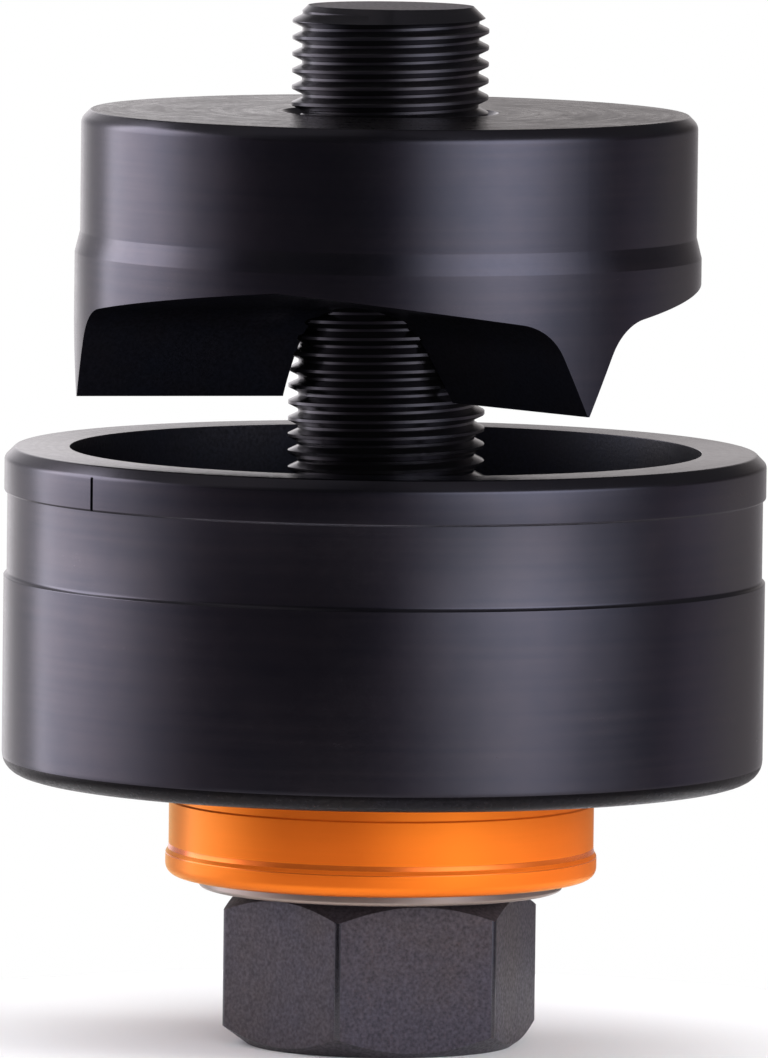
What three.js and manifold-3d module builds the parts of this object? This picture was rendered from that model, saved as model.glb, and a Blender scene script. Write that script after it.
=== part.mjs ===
// Sheet metal punch for a round 60 mm hole: a hexagon draw bolt with a thrust ball bearing in an
// aluminium cap pulls a three-tip punch into a cup-shaped die.
// Millimetres, +Z up the bolt, origin at the centre of the hexagon's lower face,
// +X through one cutting tip; the die's two index marks stand near +Y and -Y.
import * as THREE from 'three';
import { mergeVertices } from 'three/addons/utils/BufferGeometryUtils.js';
import Module from 'manifold-3d';

const wasm = await Module();
wasm.setup();

// Draw bolt
const headHeight = 15;
const headAcrossFlats = 27;
const headChamferRadius = 12.8;
const headChamferDrop = 2.0;
const headTurn = 5.5;
const boltLength = 84.7;
const boltEndChamfer = 1.5;
const shankRadius = 9.5;
const threadLength = 53.5;
const threadPitch = 1.5875;
const threadMajorRadius = 9.42;
const threadDepth = 0.92;
const threadTurn = 144;

// Thrust ball bearing 20 x 35 x 10
const bearingHeight = 10;
const raceRadius = 17.5;
const raceThickness = 2.77;
const lowerRaceBore = 10;
const upperRaceBore = 10.5;
const raceCorner = 0.4;
const ballCount = 13;
const ballRadius = 2.778;
const ballCircleRadius = 13.75;
const ballClearance = 0.15;
const cageThickness = 2;
const cageWidth = 7;
const pocketClearance = 0.2;

// Bearing housing, an aluminium cap over the bearing
const housingFlange = 0.85;
const raceProjection = 1.15;
const housingRadius = 20.4;
const housingLipRadius = 20.7;
const housingLipHeight = 2.55;
const housingBandRadius = 20.2;
const housingBandHeight = 2.4;
const housingEdge = 0.3;
const housingClearance = 0.3;
const sealSectionRadius = 0.6;
const sealSideClearance = 0.3;
const sealHeight = 1.65;

// Die
const dieHeight = 31.3;
const dieRadius = 36.5;
const dieBandRadius = 36.2;
const dieBandHeight = 7.8;
const dieRimRadius = 36.5;
const dieRimHeight = 4.25;
const dieRimChamfer = 1.0;
const dieShoulder = 0.25;
const dieFootRadius = 2.0;
const dieFloorThickness = 10.4;
const dieFloorFillet = 1.5;
const dieLandDepth = 8;
const dieRelief = 0.6;
const dieHoleChamfer = 0.8;
const markCount = 2;
const markAngle = 90;
const dieTurn = 1.2;
const markWidth = 0.38;
const markDepth = 0.25;
const markHeight = 3.2;
const shankClearance = 0.4;

// Punch
const punchRadius = 30;
const punchHeight = 27.25;
const punchBodyRadius = 29.5;
const punchCutLength = 13.6;
const punchConeLength = 2.0;
const punchTopChamfer = 0.9;
const punchLift = 5.15;
const cuttingClearance = 0.27;
const tipCount = 3;
const tipFlat = 0.2;
const flankAngle = 27;
const scoopShoulderDepth = 8.45;
const scoopRise = 8.5;
const scoopFillet = 6;
const threadClearance = 0.27;
const mouthRadius = 10.05;
const mouthAngle = 7.3;
const topCountersink = 0.7;

// One overrun serves all cuts, and points closer than the weld are one
const overrun = 1;
const weld = 0.00001;

// Heights that follow
const boltTop = headHeight + boltLength;
const threadStart = boltTop - threadLength;
const bearingTop = headHeight + bearingHeight;
const ballHeight = headHeight + bearingHeight / 2;
const housingBottom = headHeight + raceProjection;
const housingTop = bearingTop + housingFlange;
const dieTop = housingTop + dieHeight;
const dieFloor = housingTop + dieFloorThickness;
const tipHeight = dieTop + punchLift;
const punchTop = tipHeight + punchHeight;

// Counts of facets
const roundSides = 60;
const smallSides = 40;
const threadSides = 20;
const pocketSides = 12;
const arcSteps = 4;

const radians = THREE.MathUtils.degToRad;

const looks = {
  burnished: { color: 0x26262b, roughness: 0.42, metalness: 0.85 },
  boltBlack: { color: 0x2b2a2d, roughness: 0.6, metalness: 0.7 },
  orange: { color: 0xe8761a, roughness: 0.28, metalness: 0.8 },
  bearingSteel: { color: 0xa9a296, roughness: 0.35, metalness: 1.0 },
  ball: { color: 0xd5d6d8, roughness: 0.12, metalness: 1.0 },
  cage: { color: 0x9c9a94, roughness: 0.5, metalness: 1.0 },
  seal: { color: 0x151515, roughness: 0.8, metalness: 0.0 },
};

const object = new THREE.Group();

function addPiece(name, geometry, look) {
  const mesh = new THREE.Mesh(geometry, new THREE.MeshStandardMaterial(look));
  mesh.name = name;
  object.add(mesh);
  return mesh;
}

// Closed geometry to a solid that can be joined and cut
function solidOf(geometry) {
  const bare = geometry.clone();
  bare.deleteAttribute('normal');
  bare.deleteAttribute('uv');
  const merged = mergeVertices(bare, weld);
  return new wasm.Manifold(
    new wasm.Mesh({
      numProp: 3,
      vertProperties: new Float32Array(merged.attributes.position.array),
      triVerts: new Uint32Array(merged.index.array),
    }),
  );
}

// Solid back to a geometry for a mesh
function geometryOf(solid) {
  const mesh = solid.getMesh();
  const geometry = new THREE.BufferGeometry();
  const positions = new Float32Array(mesh.vertProperties);
  geometry.setAttribute('position', new THREE.BufferAttribute(positions, 3));
  geometry.setIndex(new THREE.BufferAttribute(new Uint32Array(mesh.triVerts), 1));
  geometry.computeVertexNormals();
  return geometry;
}

// Body of revolution about Z from an outline of [radius, height] points
function turned(outline, sides = roundSides) {
  const points = outline.map(([radius, height]) => new THREE.Vector2(radius, height));
  const geometry = new THREE.LatheGeometry(points, sides);
  geometry.rotateX(Math.PI / 2);
  return geometry;
}

// Points of an arc from one angle to another, in degrees, without its first point
function arc(centreRadius, centreHeight, radius, from, to, steps = arcSteps) {
  const points = [];
  for (let step = 1; step <= steps; step += 1) {
    const angle = radians(from + ((to - from) * step) / steps);
    points.push([centreRadius + radius * Math.cos(angle), centreHeight + radius * Math.sin(angle)]);
  }
  return points;
}

// Closed screw solid with a V thread: one edge line on the crests and one in the roots
function screwSolid(majorRadius, minorRadius, bottom, top) {
  const turns = Math.ceil((top - bottom) / threadPitch) + 1;
  const steps = turns * threadSides;
  const positions = [];
  const faces = [];
  const place = (radius, step, lift) => {
    const angle = radians(threadTurn) + (2 * Math.PI * step) / threadSides;
    const height = bottom + (threadPitch * step) / threadSides + lift;
    positions.push(radius * Math.cos(angle), radius * Math.sin(angle), height);
    return positions.length / 3 - 1;
  };
  const roots = [];
  const crests = [];
  for (let step = 0; step <= steps + threadSides; step += 1) {
    roots.push(place(minorRadius, step, 0));
  }
  for (let step = 0; step <= steps; step += 1) {
    crests.push(place(majorRadius, step, threadPitch / 2));
  }
  for (let step = 0; step < steps; step += 1) {
    const above = step + threadSides;
    faces.push(roots[step], roots[step + 1], crests[step]);
    faces.push(crests[step], roots[step + 1], crests[step + 1]);
    faces.push(crests[step], crests[step + 1], roots[above]);
    faces.push(roots[above], crests[step + 1], roots[above + 1]);
  }
  const foot = place(0, 0, 0);
  const peak = place(0, steps + threadSides, 0);
  for (let step = 0; step < threadSides; step += 1) {
    faces.push(foot, roots[step + 1], roots[step]);
    faces.push(peak, roots[steps + step], roots[steps + step + 1]);
  }
  faces.push(foot, roots[0], crests[0], foot, crests[0], roots[threadSides]);
  faces.push(peak, crests[steps], roots[steps], peak, roots[steps + threadSides], crests[steps]);
  const geometry = new THREE.BufferGeometry();
  geometry.setAttribute('position', new THREE.BufferAttribute(new Float32Array(positions), 3));
  geometry.setIndex(faces);
  return solidOf(geometry);
}

function drawBolt() {
  const halfFlats = headAcrossFlats / 2;
  const cornerRadius = halfFlats / Math.cos(Math.PI / 6);
  const hexagon = new THREE.CylinderGeometry(cornerRadius, cornerRadius, headHeight, 6);
  hexagon.rotateY(Math.PI / 2);
  hexagon.rotateX(Math.PI / 2);
  hexagon.rotateZ(radians(headTurn));
  hexagon.translate(0, 0, headHeight / 2);
  const chamfers = turned([
    [0, 0],
    [headChamferRadius, 0],
    [cornerRadius, headChamferDrop],
    [cornerRadius + overrun, headChamferDrop],
    [cornerRadius + overrun, headHeight - headChamferDrop],
    [cornerRadius, headHeight - headChamferDrop],
    [headChamferRadius, headHeight],
    [0, headHeight],
  ], smallSides);
  const shank = turned([
    [0, headHeight - overrun],
    [shankRadius, headHeight - overrun],
    [shankRadius, threadStart],
    [0, threadStart],
  ], smallSides);
  const threadEnvelope = turned([
    [0, threadStart - overrun],
    [shankRadius + overrun, threadStart - overrun],
    [shankRadius + overrun, boltTop - boltEndChamfer - overrun],
    [threadMajorRadius - boltEndChamfer, boltTop],
    [0, boltTop],
  ], threadSides);
  const screw = screwSolid(
    threadMajorRadius,
    threadMajorRadius - threadDepth,
    threadStart - overrun - 2 * threadPitch,
    boltTop + overrun,
  ).intersect(solidOf(threadEnvelope));
  const head = solidOf(hexagon).intersect(solidOf(chamfers));
  return geometryOf(head.add(solidOf(shank)).add(screw));
}

// Bearing washer with its ball groove; side is 1 where the groove faces up, -1 where it faces down
function raceWasher(boreRadius, backHeight, side) {
  const faceHeight = backHeight + side * raceThickness;
  const grooveRadius = ballRadius + ballClearance;
  const rise = Math.abs(faceHeight - ballHeight);
  const half = THREE.MathUtils.radToDeg(Math.acos(rise / grooveRadius));
  const outline = [
    [boreRadius, backHeight + side * raceCorner],
    [boreRadius + raceCorner, backHeight],
    [raceRadius - raceCorner, backHeight],
    [raceRadius, backHeight + side * raceCorner],
    [raceRadius, faceHeight],
    [ballCircleRadius + grooveRadius * Math.sin(radians(half)), faceHeight],
    ...arc(ballCircleRadius, ballHeight, grooveRadius, side * (half - 90), side * (-half - 90)),
    [boreRadius, faceHeight],
  ];
  outline.push(outline[0]);
  if (side < 0) {
    outline.reverse();
  }
  return turned(outline, smallSides);
}

function ballCage() {
  const inner = ballCircleRadius - cageWidth / 2;
  const outer = ballCircleRadius + cageWidth / 2;
  const low = ballHeight - cageThickness / 2;
  const high = ballHeight + cageThickness / 2;
  const ring = turned([
    [inner, low],
    [outer, low],
    [outer, high],
    [inner, high],
    [inner, low],
  ], smallSides);
  let cage = solidOf(ring);
  const pocketRadius = ballRadius + pocketClearance;
  const pocketHeight = cageThickness + 2 * overrun;
  for (let ball = 0; ball < ballCount; ball += 1) {
    const pocket = new THREE.CylinderGeometry(pocketRadius, pocketRadius, pocketHeight, pocketSides);
    pocket.rotateX(Math.PI / 2);
    pocket.translate(ballCircleRadius, 0, ballHeight);
    pocket.rotateZ((2 * Math.PI * ball) / ballCount);
    cage = cage.subtract(solidOf(pocket));
  }
  return geometryOf(cage);
}

function bearingHousing() {
  const boreRadius = raceRadius + housingClearance;
  const holeRadius = shankRadius + shankClearance;
  const bandBottom = housingTop - housingBandHeight;
  const lipTop = housingBottom + housingLipHeight;
  const grooveRadius = boreRadius + 2 * sealSectionRadius + sealSideClearance;
  const grooveHalf = sealSectionRadius + sealSideClearance;
  const sealLevel = housingBottom + sealHeight;
  return turned([
    [boreRadius, housingBottom],
    [housingLipRadius - 2 * housingEdge, housingBottom],
    [housingLipRadius, housingBottom + 2 * housingEdge],
    [housingLipRadius, lipTop - housingEdge / 2],
    [housingRadius, lipTop],
    [housingRadius, bandBottom],
    [housingBandRadius, bandBottom + housingEdge / 2],
    [housingBandRadius, housingTop - housingEdge],
    [housingBandRadius - housingEdge, housingTop],
    [holeRadius, housingTop],
    [holeRadius, bearingTop],
    [boreRadius, bearingTop],
    [boreRadius, sealLevel + grooveHalf],
    [grooveRadius, sealLevel + grooveHalf],
    [grooveRadius, sealLevel - grooveHalf],
    [boreRadius, sealLevel - grooveHalf],
    [boreRadius, housingBottom],
  ], smallSides);
}

function greaseSeal() {
  const ring = new THREE.TorusGeometry(
    raceRadius + housingClearance + sealSectionRadius,
    sealSectionRadius,
    arcSteps + 2,
    smallSides,
  );
  ring.translate(0, 0, housingBottom + sealHeight);
  return ring;
}

function die() {
  const boreRadius = punchRadius + cuttingClearance;
  const reliefRadius = boreRadius + dieRelief;
  const holeRadius = shankRadius + shankClearance;
  const rimBottom = dieTop - dieRimHeight;
  const bandBottom = rimBottom - dieBandHeight;
  const cup = turned([
    [holeRadius, housingTop],
    [dieRadius - dieFootRadius, housingTop],
    ...arc(dieRadius - dieFootRadius, housingTop + dieFootRadius, dieFootRadius, -90, 0),
    [dieRadius, bandBottom - dieShoulder],
    [dieBandRadius, bandBottom],
    [dieBandRadius, rimBottom],
    [dieRimRadius, rimBottom],
    [dieRimRadius, dieTop - dieRimChamfer],
    [dieRimRadius - dieRimChamfer, dieTop],
    [boreRadius, dieTop],
    [boreRadius, dieTop - dieLandDepth],
    [reliefRadius, dieTop - dieLandDepth - dieRelief],
    [reliefRadius, dieFloor + dieFloorFillet],
    ...arc(reliefRadius - dieFloorFillet, dieFloor + dieFloorFillet, dieFloorFillet, 0, -90, arcSteps),
    [holeRadius + dieHoleChamfer, dieFloor],
    [holeRadius, dieFloor - dieHoleChamfer],
    [holeRadius, housingTop],
  ]);
  let solid = solidOf(cup);
  for (let mark = 0; mark < markCount; mark += 1) {
    const cut = new THREE.BoxGeometry(2 * markDepth, markWidth, markHeight);
    cut.translate(dieRimRadius, 0, rimBottom + markHeight / 2);
    cut.rotateZ(radians(markAngle + dieTurn + (360 * mark) / markCount));
    solid = solid.subtract(solidOf(cut));
  }
  return geometryOf(solid);
}

// Prism below the scoop's outline on one side of a tip's ridge, which runs along +X; side is 1 or -1
function ridgePrism(side) {
  const slope = Math.tan(radians(90 - flankAngle));
  const rise = Math.tan(radians(scoopRise));
  const reach = punchRadius + overrun;
  const shoulder = tipFlat / 2 + scoopShoulderDepth / slope;
  const tangent = scoopFillet * Math.tan(radians((90 - flankAngle - scoopRise) / 2));
  const floorAt = (distance) => scoopShoulderDepth + (distance - shoulder) * rise;
  const flankEnd = tangent * Math.cos(radians(90 - flankAngle));
  const centreAcross = shoulder - flankEnd + scoopFillet * Math.cos(radians(flankAngle));
  const centreUp = scoopShoulderDepth - tangent * Math.cos(radians(flankAngle))
    - scoopFillet * Math.sin(radians(flankAngle));
  const outline = new THREE.Shape();
  outline.moveTo(tipFlat / 2 - overrun / slope, -overrun);
  outline.lineTo(tipFlat / 2, 0);
  const arcStart = radians(180 - flankAngle);
  const arcEnd = radians(90 + scoopRise);
  outline.absarc(centreAcross, centreUp, scoopFillet, arcStart, arcEnd, true);
  outline.lineTo(reach, floorAt(reach));
  outline.lineTo(reach, -overrun);
  const prism = new THREE.ExtrudeGeometry(outline, {
    depth: 2 * reach,
    bevelEnabled: false,
    curveSegments: arcSteps,
  });
  prism.translate(0, 0, -reach);
  prism.rotateX(Math.PI / 2);
  prism.rotateZ(Math.PI / 2);
  prism.translate(0, 0, tipHeight);
  if (side < 0) {
    prism.rotateZ(Math.PI);
  }
  return solidOf(prism);
}

function punch() {
  const coneBottom = tipHeight + punchCutLength;
  const body = turned([
    [0, tipHeight],
    [punchRadius, tipHeight],
    [punchRadius, coneBottom],
    [punchBodyRadius, coneBottom + punchConeLength],
    [punchBodyRadius, punchTop - punchTopChamfer],
    [punchBodyRadius - punchTopChamfer, punchTop],
    [0, punchTop],
  ]);
  const left = ridgePrism(1);
  const right = ridgePrism(-1);
  const turn = 360 / tipCount;
  let solid = solidOf(body);
  for (let tip = 0; tip < tipCount; tip += 1) {
    const nearWall = left.rotate([0, 0, tip * turn]);
    const farWall = right.rotate([0, 0, (tip + 1) * turn]);
    solid = solid.subtract(nearWall.intersect(farWall));
  }
  const minorRadius = threadMajorRadius - threadDepth + threadClearance;
  const taper = Math.tan(radians(mouthAngle));
  const mouth = turned([
    [0, tipHeight - overrun],
    [mouthRadius + overrun * taper, tipHeight - overrun],
    [minorRadius - overrun * taper, tipHeight + (mouthRadius - minorRadius) / taper + overrun],
    [0, tipHeight + (mouthRadius - minorRadius) / taper + overrun],
  ], smallSides);
  const countersink = turned([
    [0, punchTop - topCountersink - overrun],
    [threadMajorRadius + threadClearance - overrun, punchTop - topCountersink - overrun],
    [threadMajorRadius + threadClearance + topCountersink + overrun, punchTop + overrun],
    [0, punchTop + overrun],
  ], smallSides);
  const thread = screwSolid(
    threadMajorRadius + threadClearance,
    minorRadius,
    threadStart - overrun - 2 * threadPitch,
    punchTop + overrun,
  );
  return geometryOf(solid.subtract(thread).subtract(solidOf(mouth)).subtract(solidOf(countersink)));
}

addPiece('draw_bolt', drawBolt(), looks.boltBlack);
addPiece('lower_race_washer', raceWasher(lowerRaceBore, headHeight, 1), looks.bearingSteel);
addPiece('upper_race_washer', raceWasher(upperRaceBore, bearingTop, -1), looks.bearingSteel);
addPiece('ball_cage', ballCage(), looks.cage);
for (let ball = 0; ball < ballCount; ball += 1) {
  const angle = (2 * Math.PI * ball) / ballCount;
  const name = `ball_${String(ball + 1).padStart(2, '0')}`;
  const faceted = new THREE.IcosahedronGeometry(ballRadius, 1);
  faceted.deleteAttribute('uv');
  faceted.deleteAttribute('normal');
  const mesh = addPiece(name, mergeVertices(faceted), looks.ball);
  mesh.position.set(ballCircleRadius * Math.cos(angle), ballCircleRadius * Math.sin(angle), ballHeight);
  mesh.rotation.z = angle;
}
addPiece('bearing_housing', bearingHousing(), looks.orange);
addPiece('grease_seal', greaseSeal(), looks.seal);
addPiece('die', die(), looks.burnished);
addPiece('punch', punch(), looks.burnished);

export default object;
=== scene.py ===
# Sheet metal punch: draw bolt, bearing cap, die and three-tip punch, dressed around the frame.
# Metres, in the frame's own axes: +Z up the bolt, origin under the hexagon.
import math

import bmesh
import bpy
from mathutils import Matrix, Vector


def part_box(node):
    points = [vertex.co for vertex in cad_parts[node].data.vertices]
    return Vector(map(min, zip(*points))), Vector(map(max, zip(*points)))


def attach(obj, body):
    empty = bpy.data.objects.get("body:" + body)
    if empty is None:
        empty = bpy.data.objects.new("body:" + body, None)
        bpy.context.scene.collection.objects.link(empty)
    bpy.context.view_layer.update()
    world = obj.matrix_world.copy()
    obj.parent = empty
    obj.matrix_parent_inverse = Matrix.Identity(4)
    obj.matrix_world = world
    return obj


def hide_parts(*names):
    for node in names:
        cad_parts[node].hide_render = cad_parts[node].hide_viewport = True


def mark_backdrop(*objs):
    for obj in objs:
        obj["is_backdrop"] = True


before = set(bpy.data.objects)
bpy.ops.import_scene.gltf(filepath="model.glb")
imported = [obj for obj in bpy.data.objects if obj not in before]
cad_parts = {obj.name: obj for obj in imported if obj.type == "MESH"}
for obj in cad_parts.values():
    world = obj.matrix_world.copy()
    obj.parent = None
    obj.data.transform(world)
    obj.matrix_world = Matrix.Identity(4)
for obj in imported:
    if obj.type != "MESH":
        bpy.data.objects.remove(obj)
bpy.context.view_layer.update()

MM = 0.001


def low(node):
    """A node's lowest level in millimetres."""
    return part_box(node)[0].z / MM


def high(node):
    """A node's highest level in millimetres."""
    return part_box(node)[1].z / MM


def radius_of(node):
    """The radius of a node that is centred on the bolt's axis, in millimetres."""
    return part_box(node)[1].x / MM


# Levels and radii read from the frame
BOLT_TOP = high("draw_bolt")
HEAD_TOP = low("lower_race_washer")
CAP_BOTTOM = low("bearing_housing")
CAP_TOP = high("bearing_housing")
BEARING_TOP = high("upper_race_washer")
DIE_BOTTOM = low("die")
DIE_TOP = high("die")
TIP = low("punch")
PUNCH_TOP = high("punch")
DIE_RIM_RADIUS = radius_of("die")
PUNCH_RADIUS = radius_of("punch")
RACE_RADIUS = radius_of("lower_race_washer")
LIP_RADIUS = radius_of("bearing_housing")
BALL_LEVEL = (low("lower_race_washer") + BEARING_TOP) / 2

# Draw bolt: lengths in millimetres and angles in degrees, here and below
ACROSS_FLATS = 27.0
HEAD_TURN = 5.5
HEAD_CHAMFER_RADIUS = 12.8
HEAD_CHAMFER_DROP = 2.0
HEAD_EDGE = 0.35
HEAD_SIDES = 6
HEAD_SHARP_ANGLE = 50
SHANK_RADIUS = 9.5
THREAD_LENGTH = 53.5
THREAD_START = BOLT_TOP - THREAD_LENGTH
THREAD_PITCH = 1.5875
THREAD_RADIUS = 9.42
THREAD_DEPTH = 0.95
BOLT_END_CHAMFER = 1.5
THREAD_TURN = 144.0
# The thread's outline over one pitch: share of the pitch, share of the depth
THREAD_SHARES = [
    (0.0, 0.0), (0.075, 0.0), (0.115, 0.05), (0.375, 0.95), (0.415, 1.0),
    (0.585, 1.0), (0.625, 0.95), (0.885, 0.05), (0.925, 0.0),
]

# Bearing
BALL_COUNT = 13
BALL_RADIUS = 2.778
BALL_CIRCLE = 13.75
BALL_CLEARANCE = 0.15
RACE_THICKNESS = 2.77
RACE_BORE_FILLET = 0.35
RACE_BACK_FILLET = 0.4
RACE_FACE_FILLET = 0.25
GROOVE_STEPS = 10
LOWER_BORE = 10.0
UPPER_BORE = 10.5
CAGE_WIDTH = 7.0
CAGE_THICKNESS = 2.0
CAGE_FILLET = 0.3
POCKET_CLEARANCE = 0.2
POCKET_SIDES = 48

# Cap
CAP_RADIUS = 20.4
CAP_LIP_HEIGHT = 2.55
CAP_LIP_CHAMFER = 0.4
CAP_LIP_FILLET = 1.1
CAP_MOUTH_FILLET = 0.15
CAP_BAND_RADIUS = 20.2
CAP_BAND_HEIGHT = 2.4
CAP_BAND_CHAMFER = 0.12
CAP_FLARE = 0.075
CAP_FLARE_HEIGHT = 0.42
CAP_FLARE_FILLET = 0.6
CAP_CLEARANCE = 0.3
SEAL_SECTION = 0.6
SEAL_CLEARANCE = 0.3
SEAL_HEIGHT = 1.65
SEAL_SIDES = 16

# Die
DIE_RADIUS = 36.5
DIE_BAND_RADIUS = 36.2
DIE_BAND_HEIGHT = 7.8
DIE_BAND_FILLET = 0.4
DIE_BAND_CREASE = 0.08
DIE_RIM_HEIGHT = 4.25
DIE_RIM_CHAMFER = 1.0
DIE_RIM_FILLET = 0.6
DIE_RIM_EDGE = 0.45
DIE_SHOULDER = 0.25
DIE_FOOT = 2.0
# Share of the foot's rounding, from the bottom up, that is painted with shade
DIE_FOOT_SHADED = 0.72
DIE_FLOOR_THICKNESS = 10.4
DIE_FLOOR_FILLET = 1.5
DIE_LAND = 8.0
DIE_RELIEF = 0.6
HOLE_CHAMFER = 0.8
MARK_COUNT = 2
MARK_ANGLE = 90.0
DIE_TURN = 1.2
MARK_WIDTH = 0.38
MARK_DEPTH = 0.25
MARK_HEIGHT = 3.2
SHANK_CLEARANCE = 0.4

# Punch
PUNCH_BODY_RADIUS = 29.5
CUT_LENGTH = 13.6
CONE_LENGTH = 2.0
PUNCH_CHAMFER = 0.9
PUNCH_CHAMFER_FILLET = 1.1
PUNCH_TOP_FILLET = 0.4
CUTTING_CLEARANCE = 0.27
TIP_COUNT = 3
TIP_FLAT = 0.2
FLANK_ANGLE = 27.0
SCOOP_DEPTH = 8.45
SCOOP_RISE = 8.5
SCOOP_FILLET = 6.0
THREAD_CLEARANCE = 0.27
MOUTH_RADIUS = 10.05
MOUTH_ANGLE = 7.3
COUNTERSINK = 0.7
CORE_OVERLAP = 0.15
FLANK_STEPS = 4
FILLET_STEPS = 12
SCOOP_STEPS = 30
RING_STEPS = 12

# Edge fillets that several pieces share
CRISP = 0.05
FINE = 0.1
SOFT = 0.2
ROUND = 0.3

# How far cutters reach past what they cut, and how fine the round bodies are
OVERRUN = 1.0
SIDES = 240
DIE_SIDES = 360
THREAD_SIDES = 64
ROUNDING_STEP = 12.0

# Rules for faces. A face is upright where its normal's z is below UPRIGHT, and it looks outward
# where the part of its normal along its own spoke is over OUTWARD. CORNER_ANGLE is half the width
# of the hexagon's rounded corners, in degrees. FLARE_SLOPES are the normal's z on the cap's flare.
# The others are millimetres.
UPRIGHT = 0.1
OUTWARD = 0.8
CORNER_ANGLE = 5
FLARE_SLOPES = (0.03, 0.4)
FLARE_REACH = 1
INSIDE_START = 1
MARGIN = 0.1
LEVEL = 0.02


# Mesh helpers


def place_in_scene(name, data):
    """A new object of the scene that holds the given mesh, camera or light."""
    obj = bpy.data.objects.new(name, data)
    bpy.context.scene.collection.objects.link(obj)
    return obj


def mesh_from(name, shell):
    """A mesh from a bmesh, which is used up."""
    mesh = bpy.data.meshes.new(name)
    shell.to_mesh(mesh)
    shell.free()
    return mesh


def mesh_object(name, points, faces):
    """A new object from points in millimetres."""
    mesh = bpy.data.meshes.new(name)
    mesh.from_pydata([tuple(c * MM for c in p) for p in points], [], faces)
    shell = bmesh.new()
    shell.from_mesh(mesh)
    bmesh.ops.recalc_face_normals(shell, faces=shell.faces)
    shell.to_mesh(mesh)
    shell.free()
    return place_in_scene(name, mesh)


def rounded(corners):
    """Outline points from (radius, height, fillet) corners of a closed outline."""
    outline = []
    count = len(corners)
    for index, (r, z, fillet) in enumerate(corners):
        here = Vector((r, z))
        if not fillet:
            outline.append((r, z))
            continue
        before = (Vector(corners[index - 1][:2]) - here).normalized()
        after = (Vector(corners[(index + 1) % count][:2]) - here).normalized()
        half = before.angle(after) / 2
        centre = here + (before + after).normalized() * (fillet / math.sin(half))
        start = here + before * (fillet / math.tan(half)) - centre
        end = here + after * (fillet / math.tan(half)) - centre
        turn = start.angle_signed(end)
        steps = max(2, math.ceil(abs(math.degrees(turn)) / ROUNDING_STEP))
        for number in range(steps + 1):
            spoke = Matrix.Rotation(-turn * number / steps, 2) @ start
            outline.append(tuple(centre + spoke))
    return outline


def lathe(name, outline, sides=SIDES):
    """A closed body of revolution about Z from outline points (radius, height)."""
    points = []
    rings = []
    for r, z in outline:
        if r == 0:
            rings.append([len(points)] * sides)
            points.append((0, 0, z))
            continue
        rings.append(list(range(len(points), len(points) + sides)))
        for number in range(sides):
            angle = 2 * math.pi * number / sides
            points.append((r * math.cos(angle), r * math.sin(angle), z))
    faces = []
    for here, there in zip(rings, rings[1:] + rings[:1]):
        for a in range(sides):
            b = (a + 1) % sides
            corners = [here[a], here[b], there[b], there[a]]
            face = list(dict.fromkeys(corners))
            if len(face) > 2:
                faces.append(face)
    return mesh_object(name, points, faces)


def combine(obj, other, operation):
    """Joins or cuts obj with another closed object, which is used up."""
    modifier = obj.modifiers.new("combine", "BOOLEAN")
    modifier.operation = operation
    modifier.solver = "MANIFOLD"
    modifier.object = other
    return settle(obj, other)


def settle(obj, *used):
    """Applies an object's modifiers to its mesh and removes the helpers used."""
    bpy.context.view_layer.update()
    graph = bpy.context.evaluated_depsgraph_get()
    mesh = bpy.data.meshes.new_from_object(obj.evaluated_get(graph))
    obj.modifiers.clear()
    obj.data = mesh
    for helper in used:
        bpy.data.objects.remove(helper)
    return obj


def bevel(obj, width, angle, segments):
    """Rounds the edges of obj that are sharper than the angle."""
    modifier = obj.modifiers.new("edges", "BEVEL")
    modifier.width = width * MM
    modifier.segments = segments
    modifier.limit_method = "ANGLE"
    modifier.angle_limit = math.radians(angle)
    return settle(obj)


def box(name, size, centre):
    """A cuboid in millimetres."""
    corners = [
        [centre[axis] + size[axis] * ((number >> axis & 1) - 0.5) for axis in range(3)]
        for number in range(8)
    ]
    faces = [(0, 2, 3, 1), (4, 5, 7, 6), (0, 1, 5, 4), (2, 6, 7, 3), (0, 4, 6, 2), (1, 3, 7, 5)]
    return mesh_object(name, corners, faces)


def screw(name, radius, bottom, top):
    """A closed right-hand screw with the thread's outline swept up a helix.

    It starts whole turns below the thread's start, so that all the screws are in step.
    """
    lead = math.ceil((THREAD_START - bottom) / THREAD_PITCH) + 1
    bottom = THREAD_START - lead * THREAD_PITCH
    turns = math.ceil((top - bottom) / THREAD_PITCH) + 1
    sides = THREAD_SIDES
    steps = turns * sides
    points = []

    def place(r, step, rise):
        angle = math.radians(THREAD_TURN) + 2 * math.pi * step / sides
        height = bottom + THREAD_PITCH * (step / sides + rise)
        points.append((r * math.cos(angle), r * math.sin(angle), height))
        return len(points) - 1

    columns = [
        [place(radius - THREAD_DEPTH * (1 - out), step, rise) for rise, out in THREAD_SHARES]
        for step in range(steps + 1)
    ]
    for step in range(steps + 1, steps + sides + 1):
        columns.append([place(radius - THREAD_DEPTH, step, 0)])
    faces = []
    for step in range(steps):
        here, there = columns[step], columns[step + 1]
        for number in range(len(THREAD_SHARES) - 1):
            faces.append((here[number], there[number], there[number + 1], here[number + 1]))
        faces.append((here[-1], there[-1], columns[step + 1 + sides][0], columns[step + sides][0]))
    foot = place(0, 0, 0)
    peak = place(0, steps + sides, 0)
    for step in range(sides):
        faces.append((foot, columns[step + 1][0], columns[step][0]))
        faces.append((peak, columns[steps + step][0], columns[steps + step + 1][0]))
    faces.append([foot] + columns[0] + [columns[sides][0]])
    faces.append([peak, columns[steps + sides][0]] + columns[steps][::-1])
    return mesh_object(name, points, faces)


def finish_piece(obj, material, node, body, sharp=30.0):
    """Shades a piece, gives it its material and ties it to the frame."""
    obj.data.polygons.foreach_set("use_smooth", [True] * len(obj.data.polygons))
    obj.data.set_sharp_from_angle(angle=math.radians(sharp))
    obj.data.materials.clear()
    obj.data.materials.append(material)
    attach(obj, body)
    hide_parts(node)
    return obj


# Materials

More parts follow.
